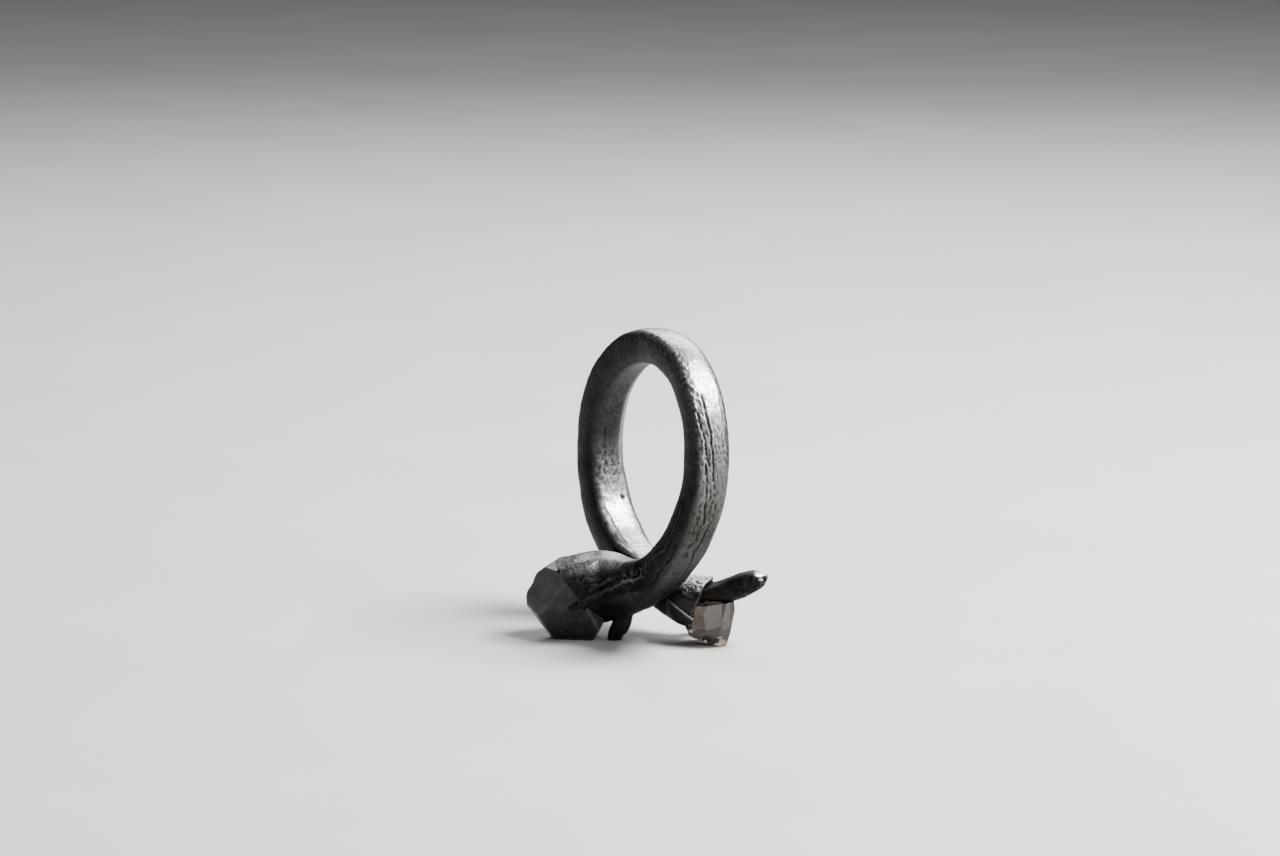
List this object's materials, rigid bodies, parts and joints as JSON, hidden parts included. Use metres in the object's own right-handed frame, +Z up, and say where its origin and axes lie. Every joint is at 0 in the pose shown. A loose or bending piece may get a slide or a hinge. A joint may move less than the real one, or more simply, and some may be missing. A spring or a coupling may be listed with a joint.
{
  "type": "finger ring",
  "caption": "Open bypass finger ring in blackened metal, with a dark stone in a hooded cup at one end and a clear crystal in a leaf-shaped sheath at the other.",
  "frame": {"origin": "bottom centre of the bounding box, on the plane that the two stones rest on", "axes": "+Y along the finger hole's axis, towards the crystal's side; +Z up, from the stones to the shank's plain side; +X along the shank's width, towards the strand that carries the dark stone"},
  "size_m": [0.024, 0.0174, 0.0274],
  "materials": {
    "blackened_silver": "oxidised black, worn bright on its edges and high spots",
    "dark_stone": "semi-gloss, cloudy, smooth cut facets",
    "clear_crystal": "clear raw quartz with a smoky brown cast and a few veils"
  },
  "bodies": {
    "root": {"shank": "blackened_silver", "stone_cup": "blackened_silver", "cup_claw_front": "blackened_silver", "cup_claw_rear": "blackened_silver", "cup_foot_claw": "blackened_silver", "dark_stone": "dark_stone", "crystal_collar": "blackened_silver", "crystal_petal_lower": "blackened_silver", "crystal_petal_rear": "blackened_silver", "leaf_tongue": "blackened_silver", "clear_crystal": "clear_crystal"}
  },
  "joints": []
}
